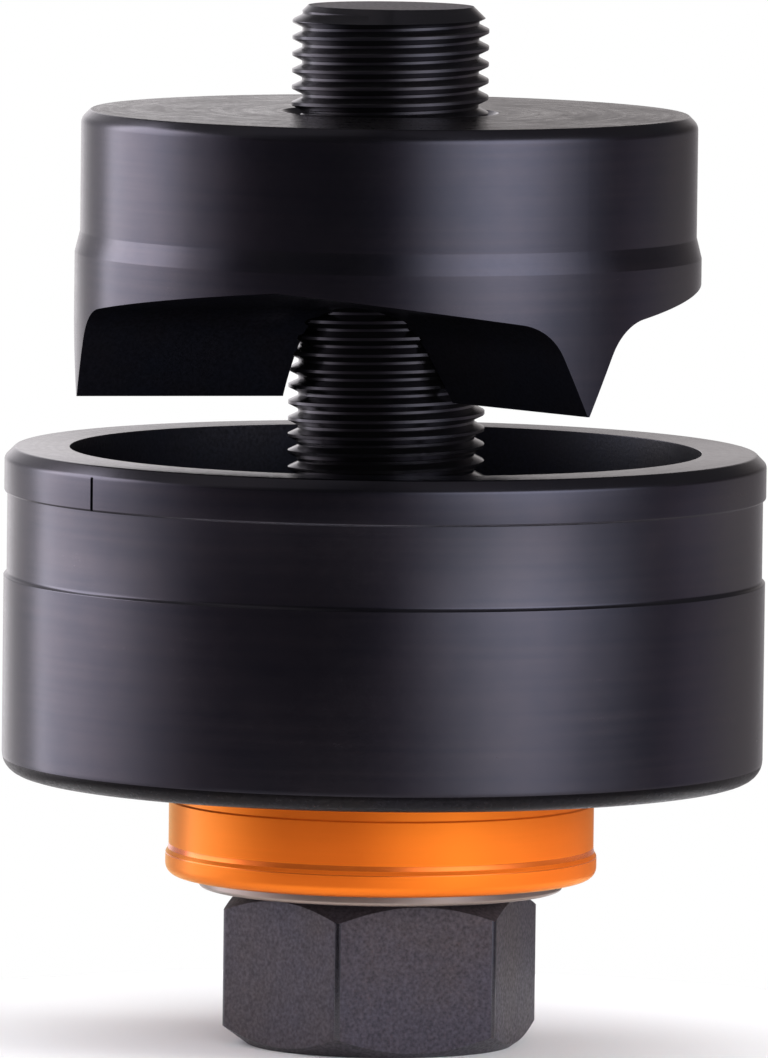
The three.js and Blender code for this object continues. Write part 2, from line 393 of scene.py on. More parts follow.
# Noise patterns as (scale, detail, roughness)
LINES = (1.0, 3.0, 0.6)
STREAKS = (1.0, 4.0, 0.6)
CLOUDS = (140.0, 6.0, 0.62)
SPECKS = (1500.0, 3.0, 0.7)
OXIDE_CLOUDS = (110.0, 5.0, 0.6)
OXIDE_SPECKS = (3000.0, 2.0, 0.5)

# Scales of the lines and streaks along the marks, and of the streaks across them
LINE_STRETCH = 60.0
STREAK_STRETCH = 35.0
STREAK_SCALE = 1400.0

# Spans of noise that the colours, and the roughness, run over
PATINA_RANGE = (0.36, 0.64)
OXIDE_RANGE = (0.35, 0.65)
NOISE_RANGE = (0.3, 0.7)

# Depth of pits in millimetres, for turned metal as a share of its grain
PIT_DEPTH = 0.12
OXIDE_DEPTH = 0.012
OXIDE_ROUGHNESS_SPREAD = 0.08

# A quarter turn, so that highlights stretch across the turning marks
MARKS_TURN = 0.25


class Nodes:
    """Short ways to add and link the nodes of one material."""

    def __init__(self, material):
        material.use_nodes = True
        self.tree = material.node_tree

    def add(self, kind, links=None, **settings):
        """A new node, whose inputs are either linked to a socket or set to a value."""
        new = self.tree.nodes.new(kind)
        for key, value in settings.items():
            setattr(new, key, value)
        for key, value in (links or {}).items():
            if isinstance(value, bpy.types.NodeSocket):
                self.tree.links.new(value, new.inputs[key])
            else:
                new.inputs[key].default_value = value
        return new

    def place(self):
        return self.add("ShaderNodeTexCoord").outputs["Object"]

    def times(self, value, factor):
        return self.add("ShaderNodeMath", {0: value, 1: factor}, operation="MULTIPLY").outputs[0]

    def plus(self, first, second):
        return self.add("ShaderNodeMath", {0: first, 1: second}, operation="ADD").outputs[0]

    def noise(self, place, scale, detail, roughness=0.5):
        return self.add("ShaderNodeTexNoise", {
            "Vector": place, "Scale": scale, "Detail": detail, "Roughness": roughness,
        }).outputs["Fac"]

    def remap(self, value, start, end, low=0.0, high=1.0, **settings):
        """The value's range from start to end, mapped to the range from low to high."""
        return self.add("ShaderNodeMapRange", {
            "Value": value, "From Min": start, "From Max": end, "To Min": low, "To Max": high,
        }, **settings).outputs[0]

    def two_tones(self, value, span, first, second):
        """One colour below the span of values, another above it, and a blend between them."""
        ramp = self.add("ShaderNodeValToRGB", {"Fac": value})
        for element, position, colour in zip(ramp.color_ramp.elements, span, (first, second)):
            element.position = position
            element.color = (*colour, 1)
        return ramp.outputs["Color"]

    def bump(self, height, distance, strength=1.0, normal=None):
        """A bump of a distance in millimetres."""
        links = {"Height": height, "Strength": strength, "Distance": distance * MM}
        if normal is not None:
            links["Normal"] = normal
        return self.add("ShaderNodeBump", links).outputs["Normal"]


class Surface(Nodes):
    """A material with its Principled shader."""

    def __init__(self, name, base, metallic, roughness):
        self.material = bpy.data.materials.new(name)
        super().__init__(self.material)
        self.inputs = self.tree.nodes["Principled BSDF"].inputs
        self.inputs["Base Color"].default_value = (*base, 1)
        self.inputs["Metallic"].default_value = metallic
        self.inputs["Roughness"].default_value = roughness

    def link(self, key, socket):
        self.tree.links.new(socket, self.inputs[key])


def turned_metal(name, base, roughness, line_scale, line_depth, mottle, grain, metallic=1.0,
                 tint=(1.0, 0.93, 0.88), anisotropy=0.0):
    """Turned metal with fine tool marks, a cloudy and streaky patina and a fine grain.

    The marks and streaks run as rings on flats and as hoops on walls.
    """
    surface = Surface(name, base, metallic, roughness)
    place = surface.place()
    parts = surface.add("ShaderNodeSeparateXYZ", {0: place}).outputs
    flat = surface.add("ShaderNodeCombineXYZ", {0: parts["X"], 1: parts["Y"]}).outputs[0]
    distance = surface.add("ShaderNodeVectorMath", {0: flat}, operation="LENGTH").outputs["Value"]
    across = surface.plus(distance, parts["Z"])

    def stretched(along_scale, across_scale):
        return surface.add("ShaderNodeCombineXYZ", {
            0: surface.times(parts["X"], along_scale), 1: surface.times(parts["Y"], along_scale),
            2: surface.times(across, across_scale),
        }).outputs[0]

    lines = surface.noise(stretched(LINE_STRETCH, line_scale), *LINES)
    clouds = surface.noise(place, *CLOUDS)
    streaks = surface.noise(stretched(STREAK_STRETCH, STREAK_SCALE), *STREAKS)
    patina = surface.add("ShaderNodeMix", {"Factor": 0.5, 2: clouds, 3: streaks}).outputs[0]
    specks = surface.noise(place, *SPECKS)

    dark = tuple(c * (1 - mottle) for c in base)
    light = tuple(c * (1 + mottle) * t for c, t in zip(base, tint))
    surface.link("Base Color", surface.two_tones(patina, PATINA_RANGE, dark, light))
    smooth, rough = roughness * (1 - mottle), roughness * (1 + mottle)
    cloudy = surface.remap(patina, *NOISE_RANGE, smooth, rough)
    speckled = surface.remap(specks, *NOISE_RANGE, -grain, grain)
    surface.link("Roughness", surface.plus(cloudy, speckled))
    marks = surface.bump(lines, line_depth)
    surface.link("Normal", surface.bump(specks, grain * PIT_DEPTH, normal=marks))
    if anisotropy:
        surface.inputs["Anisotropic"].default_value = anisotropy
        surface.inputs["Anisotropic Rotation"].default_value = MARKS_TURN
        tangent = surface.add("ShaderNodeTangent", direction_type="RADIAL", axis="Z")
        surface.link("Tangent", tangent.outputs[0])
    return surface.material


def oxide(name, blue, brown, roughness, speck, metallic):
    """Matt black oxide with bluish and brownish specks about a quarter millimetre wide."""
    surface = Surface(name, blue, metallic, roughness)
    place = surface.place()
    specks = surface.noise(place, *OXIDE_SPECKS)
    clouds = surface.noise(place, *OXIDE_CLOUDS)
    tone = surface.two_tones(clouds, OXIDE_RANGE, brown, blue)
    spread = surface.remap(specks, *NOISE_RANGE, 1.0 - speck, 1.0 + speck)
    colour = surface.add("ShaderNodeVectorMath", {0: tone, "Scale": spread}, operation="SCALE")
    surface.link("Base Color", colour.outputs[0])
    duller, glossier = roughness + OXIDE_ROUGHNESS_SPREAD, roughness - OXIDE_ROUGHNESS_SPREAD
    surface.link("Roughness", surface.remap(specks, *NOISE_RANGE, duller, glossier))
    surface.link("Normal", surface.bump(specks, OXIDE_DEPTH))
    return surface.material


def fibrous(name, base, roughness, scale, detail, strength, depth):
    """A dull material with a faint grain, such as rubber or paper."""
    surface = Surface(name, base, 0.0, roughness)
    fibres = surface.noise(surface.place(), scale, detail)
    surface.link("Normal", surface.bump(fibres, depth, strength))
    return surface.material


def set_gloss(material, level, tint):
    """Sets a material's specular level and the colour of its edge gloss."""
    inputs = material.node_tree.nodes["Principled BSDF"].inputs
    inputs["Specular IOR Level"].default_value = level
    inputs["Specular Tint"].default_value = (*tint, 1)


burnished = turned_metal(
    "burnished_steel", (0.085, 0.084, 0.102), 0.24, line_scale=5200.0, line_depth=0.0014,
    mottle=0.12, grain=0.02, anisotropy=0.6,
)
# The burnished steel with a lighter base colour, for the die's recessed band.
lighter_band_steel = turned_metal(
    "lighter_band_steel", (0.100, 0.099, 0.118), 0.24, line_scale=5200.0, line_depth=0.0014,
    mottle=0.12, grain=0.02, anisotropy=0.6,
)
worn_steel = turned_metal(
    "worn_steel", (0.075, 0.070, 0.076), 0.30, line_scale=2400.0, line_depth=0.0016,
    mottle=0.3, grain=0.05,
)
bolt_black = turned_metal(
    "bolt_black", (0.070, 0.069, 0.079), 0.20, line_scale=2600.0, line_depth=0.001,
    mottle=0.12, grain=0.04, metallic=0.97,
)
head_black = oxide("head_black", (0.044, 0.038, 0.050), (0.049, 0.039, 0.043), 0.48, 0.34, 0.55)
# Near-black oxide for the lower part of the die's foot: painted shade where the foot faces the
# shadowed floor.
foot_shade_black = oxide("foot_shade_black", (0.013, 0.012, 0.015), (0.015, 0.013, 0.013), 0.34, 0.3, 0.95)
# Near-black oxide for the die's and the punch's inside faces: painted shade in the recesses.
inside_shade_black = oxide("inside_shade_black", (0.011, 0.012, 0.019), (0.013, 0.012, 0.016), 0.36, 0.3, 0.68)
orange = turned_metal(
    "orange_anodised", (0.83, 0.153, 0.015), 0.32, line_scale=4200.0, line_depth=0.0008,
    mottle=0.03, grain=0.012, metallic=0.45, tint=(1.0, 1.0, 1.0), anisotropy=0.2,
)
set_gloss(orange, 1.0, (1.0, 1.0, 0.05))
# The flare over the lip: its lower roughness is a finish, and its lighter colour is a painted
# highlight.
flare_highlight_orange = turned_metal(
    "flare_highlight_orange", (0.88, 0.18, 0.022), 0.12, line_scale=4200.0, line_depth=0.0004,
    mottle=0.03, grain=0.006, metallic=0.7, tint=(1.0, 1.0, 1.0),
)
bearing_steel = turned_metal(
    "bearing_steel", (0.35, 0.29, 0.26), 0.34, line_scale=5200.0, line_depth=0.0015,
    mottle=0.06, grain=0.02,
)
ball_steel = turned_metal(
    "ball_steel", (0.72, 0.73, 0.74), 0.10, line_scale=300.0, line_depth=0.0002,
    mottle=0.02, grain=0.01,
)
cage_steel = turned_metal(
    "cage_steel", (0.50, 0.49, 0.46), 0.42, line_scale=1500.0, line_depth=0.002,
    mottle=0.08, grain=0.04,
)
seal_rubber = fibrous("seal_rubber", (0.015, 0.015, 0.015), 0.7, 2500.0, 2.0, 0.5, 0.02)


# Pieces


def draw_bolt():
    """Hexagon head, plain shank and thread in one piece."""
    corner = ACROSS_FLATS / 2 / math.cos(math.pi / HEAD_SIDES)
    count = HEAD_SIDES
    spokes = [math.radians(HEAD_TURN + 360 / count * number) for number in range(count)]
    levels = (-OVERRUN, HEAD_TOP + OVERRUN)
    points = [(corner * math.cos(a), corner * math.sin(a), z) for z in levels for a in spokes]
    faces = [tuple(range(count)), tuple(range(count, 2 * count))]
    faces += [(n, (n + 1) % count, count + (n + 1) % count, count + n) for n in range(count)]
    bolt = mesh_object("draw_bolt_steel", points, faces)
    bevel(bolt, HEAD_EDGE, HEAD_SHARP_ANGLE, segments=3)
    chamfers = lathe("chamfers", [
        (0, 0), (HEAD_CHAMFER_RADIUS, 0), (corner, HEAD_CHAMFER_DROP),
        (corner + OVERRUN, HEAD_CHAMFER_DROP), (corner + OVERRUN, HEAD_TOP - HEAD_CHAMFER_DROP),
        (corner, HEAD_TOP - HEAD_CHAMFER_DROP), (HEAD_CHAMFER_RADIUS, HEAD_TOP), (0, HEAD_TOP),
    ])
    combine(bolt, chamfers, "INTERSECT")
    shank = lathe("shank", [
        (0, HEAD_TOP - OVERRUN), (SHANK_RADIUS, HEAD_TOP - OVERRUN),
        (SHANK_RADIUS, THREAD_START - HEAD_EDGE), (SHANK_RADIUS - HEAD_EDGE, THREAD_START),
        (0, THREAD_START),
    ])
    combine(bolt, shank, "UNION")
    thread = screw("thread", THREAD_RADIUS, THREAD_START - 2 * OVERRUN, BOLT_TOP + OVERRUN)
    envelope = lathe("envelope", [
        (0, THREAD_START - OVERRUN), (SHANK_RADIUS + OVERRUN, THREAD_START - OVERRUN),
        (SHANK_RADIUS + OVERRUN, BOLT_TOP - BOLT_END_CHAMFER - OVERRUN),
        (THREAD_RADIUS - BOLT_END_CHAMFER, BOLT_TOP), (0, BOLT_TOP),
    ], sides=THREAD_SIDES * 2)
    combine(thread, envelope, "INTERSECT")
    return combine(bolt, thread, "UNION")


def race_washer(name, bore, back, side):
    """A bearing washer with its ball groove, from its back face towards the balls."""
    face = back + side * RACE_THICKNESS
    groove = BALL_RADIUS + BALL_CLEARANCE
    half = math.degrees(math.acos(abs(face - BALL_LEVEL) / groove))
    outline = rounded([
        (bore, back, RACE_BORE_FILLET), (RACE_RADIUS, back, RACE_BACK_FILLET),
        (RACE_RADIUS, face, RACE_FACE_FILLET),
    ])
    for number in range(GROOVE_STEPS + 1):
        angle = math.radians(half - 2 * half * number / GROOVE_STEPS)
        outline.append((
            BALL_CIRCLE + groove * math.sin(angle), BALL_LEVEL - side * groove * math.cos(angle),
        ))
    outline.append((bore, face))
    return lathe(name, outline)


def ball_place(number):
    """The centre of a ball, counted from 0, in millimetres."""
    angle = 2 * math.pi * number / BALL_COUNT
    return Vector((BALL_CIRCLE * math.cos(angle), BALL_CIRCLE * math.sin(angle), BALL_LEVEL))


def ball(number):
    """One true round ball of the bearing."""
    shell = bmesh.new()
    bmesh.ops.create_icosphere(shell, subdivisions=4, radius=BALL_RADIUS * MM)
    bmesh.ops.translate(shell, verts=shell.verts, vec=ball_place(number) * MM)
    name = f"bearing_ball_{number + 1:02d}"
    return place_in_scene(name, mesh_from(name, shell))


def cage():
    """The ring that keeps the balls apart, with a round pocket for each."""
    inner = BALL_CIRCLE - CAGE_WIDTH / 2
    outer = BALL_CIRCLE + CAGE_WIDTH / 2
    half = CAGE_THICKNESS / 2
    ring = lathe("cage_ring", rounded([
        (inner, BALL_LEVEL - half, CAGE_FILLET), (outer, BALL_LEVEL - half, CAGE_FILLET),
        (outer, BALL_LEVEL + half, CAGE_FILLET), (inner, BALL_LEVEL + half, CAGE_FILLET),
    ]))
    pocket_radius = BALL_RADIUS + POCKET_CLEARANCE
    for number in range(BALL_COUNT):
        pocket = lathe("pocket", [
            (0, -half - OVERRUN), (pocket_radius, -half - OVERRUN),
            (pocket_radius, half + OVERRUN), (0, half + OVERRUN),
        ], sides=POCKET_SIDES)
        pocket.data.transform(Matrix.Translation(ball_place(number) * MM))
        combine(ring, pocket, "DIFFERENCE")
    return ring


def cap():
    """The cap over the bearing, with its lip, its upper band and the groove of the seal."""
    bore = RACE_RADIUS + CAP_CLEARANCE
    hole = SHANK_RADIUS + SHANK_CLEARANCE
    band = CAP_TOP - CAP_BAND_HEIGHT
    lip = CAP_BOTTOM + CAP_LIP_HEIGHT
    seal = CAP_BOTTOM + SEAL_HEIGHT
    half = SEAL_SECTION + SEAL_CLEARANCE
    groove = bore + 2 * SEAL_SECTION + SEAL_CLEARANCE
    return lathe("bearing_cap", rounded([
        (bore, CAP_BOTTOM, CAP_MOUTH_FILLET), (LIP_RADIUS, CAP_BOTTOM, CAP_LIP_FILLET),
        (LIP_RADIUS, lip - CAP_LIP_CHAMFER, ROUND), (CAP_RADIUS + CAP_FLARE, lip, CRISP),
        (CAP_RADIUS, lip + CAP_FLARE_HEIGHT, CAP_FLARE_FILLET),
        (CAP_RADIUS, band - CAP_BAND_CHAMFER, FINE), (CAP_BAND_RADIUS, band, CRISP),
        (CAP_BAND_RADIUS, CAP_TOP, ROUND), (hole, CAP_TOP, FINE), (hole, BEARING_TOP, FINE),
        (bore, BEARING_TOP, SOFT), (bore, seal + half, CRISP), (groove, seal + half, SOFT),
        (groove, seal - half, SOFT), (bore, seal - half, CRISP),
    ]))


def grease_ring():
    """The rubber ring in the cap's groove."""
    centre = RACE_RADIUS + CAP_CLEARANCE + SEAL_SECTION
    level = CAP_BOTTOM + SEAL_HEIGHT
    angles = [2 * math.pi * number / SEAL_SIDES for number in range(SEAL_SIDES)]
    return lathe("grease_ring", [
        (centre + SEAL_SECTION * math.cos(a), level + SEAL_SECTION * math.sin(a)) for a in angles
    ])


def die_cup():
    """The die, with its two index marks cut into the rim."""
    bore = PUNCH_RADIUS + CUTTING_CLEARANCE
    relief = bore + DIE_RELIEF
    hole = SHANK_RADIUS + SHANK_CLEARANCE
    floor = DIE_BOTTOM + DIE_FLOOR_THICKNESS
    rim = DIE_TOP - DIE_RIM_HEIGHT
    band = rim - DIE_BAND_HEIGHT
    cup = lathe("die_cup", rounded([
        (hole, DIE_BOTTOM, SOFT), (DIE_RADIUS, DIE_BOTTOM, DIE_FOOT),
        (DIE_RADIUS, band - DIE_SHOULDER, FINE), (DIE_BAND_RADIUS, band, DIE_BAND_FILLET),
        (DIE_BAND_RADIUS, rim, DIE_BAND_CREASE), (DIE_RIM_RADIUS, rim, SOFT),
        (DIE_RIM_RADIUS, DIE_TOP - DIE_RIM_CHAMFER, DIE_RIM_FILLET),
        (DIE_RIM_RADIUS - DIE_RIM_CHAMFER, DIE_TOP, DIE_RIM_EDGE),
        (bore, DIE_TOP, CRISP), (bore, DIE_TOP - DIE_LAND, FINE),
        (relief, DIE_TOP - DIE_LAND - DIE_RELIEF, FINE), (relief, floor, DIE_FLOOR_FILLET),
        (hole + HOLE_CHAMFER, floor, FINE), (hole, floor - HOLE_CHAMFER, FINE),
    ]), sides=DIE_SIDES)
    for number in range(MARK_COUNT):
        mark = box(
            "mark", (2 * MARK_DEPTH, MARK_WIDTH, MARK_HEIGHT),
            (DIE_RIM_RADIUS, 0, rim + MARK_HEIGHT / 2),
        )
        turn = math.radians(MARK_ANGLE + DIE_TURN + 360 * number / MARK_COUNT)
        mark.data.transform(Matrix.Rotation(turn, 4, "Z"))
        combine(cup, mark, "DIFFERENCE")
    return cup


def scoop_marks():
    """The flank's slope, and the distances from a ridge of its shoulder and its fillet's ends."""
    slope = math.tan(math.radians(90 - FLANK_ANGLE))
    shoulder = TIP_FLAT / 2 + SCOOP_DEPTH / slope
    tangent = SCOOP_FILLET * math.tan(math.radians((90 - FLANK_ANGLE - SCOOP_RISE) / 2))
    start = shoulder - tangent * math.sin(math.radians(FLANK_ANGLE))
    end = shoulder + tangent * math.cos(math.radians(SCOOP_RISE))
    return slope, shoulder, start, end


def scoop_depth(distance):
    """Depth of the scoops above the tips' level at a distance from the nearest ridge line."""
    slope, shoulder, start, end = scoop_marks()
    rise = math.tan(math.radians(SCOOP_RISE))
    if distance <= TIP_FLAT / 2:
        return 0.0
    if distance <= start:
        return (distance - TIP_FLAT / 2) * slope
    if distance >= end:
        return SCOOP_DEPTH + (distance - shoulder) * rise
    centre = start + SCOOP_FILLET * math.cos(math.radians(FLANK_ANGLE))
    up = (start - TIP_FLAT / 2) * slope - SCOOP_FILLET * math.sin(math.radians(FLANK_ANGLE))
    return up + math.sqrt(SCOOP_FILLET**2 - (distance - centre) ** 2)


def scoop_columns(r):
    """Distances from a ridge of the mesh's columns up to the scoop's middle, at radius r."""
    _, _, start, end = scoop_marks()
    middle = r * math.sin(math.pi / TIP_COUNT)
    flat = TIP_FLAT / 2
    columns = [0.0, flat]
    for first, last, steps in (
        (flat, start, FLANK_STEPS), (start, end, FILLET_STEPS), (end, middle, SCOOP_STEPS),
    ):
        columns += [first + (last - first) * n / steps for n in range(1, steps + 1)]
    return columns


def column_places(r):
    """(angle, height) around the punch's lower face at radius r, once round from a ridge."""
    places = []
    for tip in range(TIP_COUNT):
        turn = 2 * math.pi * tip / TIP_COUNT
        there = [(turn + math.asin(d / r), TIP + scoop_depth(d)) for d in scoop_columns(r)]
        middle = turn + math.pi / TIP_COUNT
        back = [(2 * middle - angle, height) for angle, height in there[-2:0:-1]]
        places += there + back
    return places


def punch_body():
    """The punch: a closed ring of columns, bored, threaded and countersunk."""
    outer = THREAD_RADIUS + THREAD_CLEARANCE
    minor = THREAD_RADIUS - THREAD_DEPTH + THREAD_CLEARANCE
    core = minor - CORE_OVERLAP
    cone = TIP + CUT_LENGTH
    radii = [core + (PUNCH_RADIUS - core) * n / RING_STEPS for n in range(RING_STEPS + 1)]
    rings = [[(r, a, z) for a, z in column_places(r)] for r in radii]
    edge = [a for a, _ in column_places(PUNCH_RADIUS)]
    wall = rounded([
        (PUNCH_RADIUS, TIP, 0), (PUNCH_RADIUS, cone, ROUND),
        (PUNCH_BODY_RADIUS, cone + CONE_LENGTH, ROUND),
        (PUNCH_BODY_RADIUS, PUNCH_TOP - PUNCH_CHAMFER, PUNCH_CHAMFER_FILLET),
        (PUNCH_BODY_RADIUS - PUNCH_CHAMFER, PUNCH_TOP, PUNCH_TOP_FILLET), (core, PUNCH_TOP, 0),
    ])[1:]
    rings += [[(r, a, z) for a in edge] for r, z in wall]
    count = len(edge)
    points = [(r * math.cos(a), r * math.sin(a), z) for ring in rings for r, a, z in ring]
    faces = []
    for row in range(len(rings)):
        here = row * count
        there = (row + 1) % len(rings) * count
        for a in range(count):
            b = (a + 1) % count
            faces.append((here + a, here + b, there + b, there + a))
    body = mesh_object("punch_steel", points, faces)
    taper = math.tan(math.radians(MOUTH_ANGLE))
    depth = (MOUTH_RADIUS - minor) / taper
    bottom = TIP - OVERRUN
    thread = screw("tap", outer, bottom, PUNCH_TOP + OVERRUN)
    mouth = lathe("mouth", [
        (0, bottom), (MOUTH_RADIUS + OVERRUN * taper, bottom),
        (minor - OVERRUN * taper, TIP + depth + OVERRUN), (0, TIP + depth + OVERRUN),
    ])
    floor = PUNCH_TOP - COUNTERSINK - OVERRUN
    sink = lathe("sink", [
        (0, floor), (outer - OVERRUN, floor),
        (outer + COUNTERSINK + OVERRUN, PUNCH_TOP + OVERRUN), (0, PUNCH_TOP + OVERRUN),
    ])
    combine(body, thread, "DIFFERENCE")
    combine(body, mouth, "DIFFERENCE")
    return combine(body, sink, "DIFFERENCE")


def dress(obj, *looks):
    """Gives each face the first material whose rule holds for its centre in mm and its normal."""
    for material, _ in looks:
        obj.data.materials.append(material)
    for polygon in obj.data.polygons:
        centre = polygon.center / MM
        for index, (_, holds) in enumerate(looks, start=1):
            if holds(centre, polygon.normal):
                polygon.material_index = index
                break


def on_head(centre, normal):
    """The hexagon without its rounded corners, and the end of the thread."""
    half = 180 / HEAD_SIDES
    side = math.degrees(math.atan2(normal.y, normal.x)) - HEAD_TURN
    corner = abs(normal.z) < UPRIGHT and abs(side % (2 * half) - half) > CORNER_ANGLE
    return (centre.z < HEAD_TOP + LEVEL / 2 and not corner) or centre.z > BOLT_TOP - LEVEL


def on_cap_flare(centre, normal):
    """The narrow slope over the cap's lip, which gets a lighter, glossier orange as a painted
    highlight.
    """
    if centre.xy.length < CAP_RADIUS - MARGIN:
        return False
    above = centre.z - CAP_BOTTOM - CAP_LIP_HEIGHT
    return FLARE_SLOPES[0] < normal.z < FLARE_SLOPES[1] and above < FLARE_REACH


def on_die_foot(centre, normal):
    """The lower part of the rounding at the die's foot, which gets a near-black colour as painted
    shade.
    """
    low_enough = centre.z < DIE_BOTTOM + DIE_FOOT * DIE_FOOT_SHADED
    return centre.xy.length > DIE_RADIUS - DIE_FOOT and low_enough


def in_die(centre, normal):
    """The die's bore, relief and floor, which get a near-black colour as painted shade."""
    if centre.xy.length > PUNCH_RADIUS + CUTTING_CLEARANCE + DIE_RELIEF:
        return False
    return DIE_BOTTOM + INSIDE_START < centre.z < DIE_TOP - MARGIN


def on_die_band(centre, normal):
    """The recessed band round the die."""
    return abs(centre.xy.length - DIE_BAND_RADIUS) < LEVEL and abs(normal.z) < UPRIGHT


def on_punch_top(centre, normal):
    """The punch's top face."""
    return centre.z > PUNCH_TOP - LEVEL


def in_punch(centre, normal):
    """The punch's scoops and bore: what doesn't face outward, below its upper chamfer. These get a
    near-black colour as painted shade.
    """
    outward = normal.xy.dot(centre.xy.normalized())
    return outward < OUTWARD and centre.z < PUNCH_TOP - PUNCH_CHAMFER - MARGIN


bolt = finish_piece(draw_bolt(), bolt_black, "draw_bolt", "bolt")
dress(bolt, (head_black, on_head))
finish_piece(
    race_washer("lower_washer", LOWER_BORE, low("lower_race_washer"), 1),
    bearing_steel, "lower_race_washer", "bolt",
)
finish_piece(
    race_washer("upper_washer", UPPER_BORE, BEARING_TOP, -1),
    bearing_steel, "upper_race_washer", "housing",
)
finish_piece(cage(), cage_steel, "ball_cage", "cage")
for number in range(BALL_COUNT):
    finish_piece(ball(number), ball_steel, f"ball_{number + 1:02d}", "cage")
housing = finish_piece(cap(), orange, "bearing_housing", "housing")
# The flare strip gets the painted highlight.
dress(housing, (flare_highlight_orange, on_cap_flare))
finish_piece(grease_ring(), seal_rubber, "grease_seal", "housing")
die = finish_piece(die_cup(), burnished, "die", "die")
# The die's foot and its inside faces get painted shade; the band gets the lighter steel.
dress(die, (foot_shade_black, on_die_foot), (inside_shade_black, in_die), (lighter_band_steel, on_die_band))
punch = finish_piece(punch_body(), burnished, "punch", "punch", sharp=20.0)
# The punch's scoops and bore get painted shade.
dress(punch, (worn_steel, on_punch_top), (inside_shade_black, in_punch))


# Camera at the photograph's viewing angle: metres, degrees, and millimetres of lens and sensor
CAMERA_AZIMUTH = 50.5
CAMERA_ELEVATION = 4.96
CAMERA_DISTANCE = 1.447
CAMERA_LENS = 513.8
CAMERA_SENSOR = 36.0
CAMERA_REACH = 20.0
CAMERA_ROLL = 0.70
AIM_HEIGHT = 49.5 * MM
AIM_RIGHT = -0.08 * MM

azimuth = math.radians(CAMERA_AZIMUTH)
elevation = math.radians(CAMERA_ELEVATION)
towards = Vector((math.sin(azimuth), -math.cos(azimuth), 0))
right = Vector((math.cos(azimuth), math.sin(azimuth), 0))
aim = Vector((0, 0, AIM_HEIGHT)) + right * AIM_RIGHT
view = (towards * math.cos(elevation) + Vector((0, 0, math.sin(elevation)))).normalized()

camera_data = bpy.data.cameras.new("photo_camera")
camera_data.lens = CAMERA_LENS
camera_data.sensor_width = CAMERA_SENSOR
camera_data.sensor_fit = "AUTO"
camera_data.clip_end = CAMERA_REACH
camera = place_in_scene("photo_camera", camera_data)
camera.location = aim + view * CAMERA_DISTANCE
roll = Matrix.Rotation(math.radians(CAMERA_ROLL), 3, "Z")
camera.rotation_euler = (view.to_track_quat("Z", "Y").to_matrix() @ roll).to_euler()
bpy.context.scene.camera = camera


# Studio: a pale floor, and a dome of soft boxes and dark cards that the camera looks through.
# A stop of the dome is (direction in degrees, light level as R, G, B). The camera's side is at 0
# and its right at 90.
FLOOR_RADIUS = 60.0
FLOOR_THICKNESS = 0.1
FLOOR_SIDES = 128
DOME_RADIUS = 1000.0
DOME_SEGMENTS = 96
DOME_RINGS = 48
DOME_WALLS = [
    (-180, (0.85, 0.81, 0.81)), (-164, (1.14, 1.1, 1.13)), (-146, (0.62, 0.59, 0.62)),
    (-131, (0.95, 0.92, 1.0)), (-125, (2.4, 2.34, 2.55)), (-118, (2.0, 1.94, 2.14)),
    (-104, (1.7, 1.64, 1.8)), (-92, (1.22, 1.17, 1.3)), (-82, (0.9, 0.87, 0.96)),
    (-74, (0.58, 0.55, 0.62)), (-61, (0.24, 0.22, 0.26)), (-49, (0.12, 0.105, 0.13)),
    (-38, (0.085, 0.075, 0.095)), (-26, (0.065, 0.055, 0.07)), (-15, (0.075, 0.065, 0.08)),
    (-5, (0.10, 0.09, 0.11)), (6, (0.22, 0.20, 0.24)), (17, (0.5, 0.49, 0.55)),
    (28, (0.9, 0.9, 0.98)), (39, (1.26, 1.26, 1.38)), (50, (1.16, 1.16, 1.3)),
    (62, (0.66, 0.66, 0.75)), (75, (0.36, 0.36, 0.42)), (89, (0.22, 0.20, 0.24)),
    (105, (0.33, 0.30, 0.36)), (125, (0.36, 0.33, 0.35)), (150, (0.24, 0.22, 0.23)),
    (166, (0.38, 0.36, 0.37)), (180, (0.68, 0.65, 0.65)),
]
DOME_BOXES = [
    (-180, (0.95, 0.91, 0.92)), (-172, (1.3, 1.25, 1.29)), (-158, (0.55, 0.53, 0.56)),
    (-140, (0.5, 0.48, 0.52)), (-131, (1.2, 1.16, 1.26)), (-123, (3.9, 3.8, 4.1)),
    (-112, (3.7, 3.6, 3.9)), (-92, (2.8, 2.73, 2.96)), (-80, (1.0, 0.97, 1.07)),
    (-70, (0.5, 0.48, 0.55)), (-60, (0.14, 0.13, 0.16)), (-48, (0.05, 0.045, 0.055)),
    (-30, (0.04, 0.04, 0.05)), (-8, (0.05, 0.05, 0.06)), (4, (0.16, 0.16, 0.2)),
    (14, (0.75, 0.77, 0.88)), (33, (1.9, 1.97, 2.25)), (48, (2.15, 2.23, 2.56)),
    (62, (1.5, 1.56, 1.8)), (77, (0.62, 0.64, 0.75)), (90, (0.18, 0.17, 0.2)),
    (112, (0.10, 0.09, 0.10)), (128, (0.10, 0.09, 0.10)), (146, (0.10, 0.09, 0.09)),
    (163, (0.25, 0.23, 0.23)), (173, (0.7, 0.66, 0.66)), (180, (0.65, 0.61, 0.61)),
]
DOME_CEILING = [
    (-180, (0.05, 0.048, 0.052)), (-90, (0.2, 0.195, 0.205)), (-40, (0.08, 0.078, 0.084)),
    (0, (0.06, 0.058, 0.064)), (50, (0.2, 0.195, 0.21)), (100, (0.13, 0.125, 0.135)),
    (180, (0.05, 0.048, 0.052)),
]
# The boxes' upper ends as (degrees, height), where the height is the sine of the elevation
DOME_TOPS = [
    (-180, 0.34), (-150, 0.48), (-134, 0.62), (-122, 0.58), (-95, 0.56), (-65, 0.45),
    (-40, 0.3), (20, 0.5), (70, 0.5), (110, 0.3), (180, 0.34),
]
DOME_TOP_EDGE = 0.15
DOME_STEP = (0.0, 0.2)
DOME_GROUND = (0.36, 0.34, 0.36)
DOME_GROUND_EDGE = (-0.36, -0.2)
DOME_PEAK = 6.0


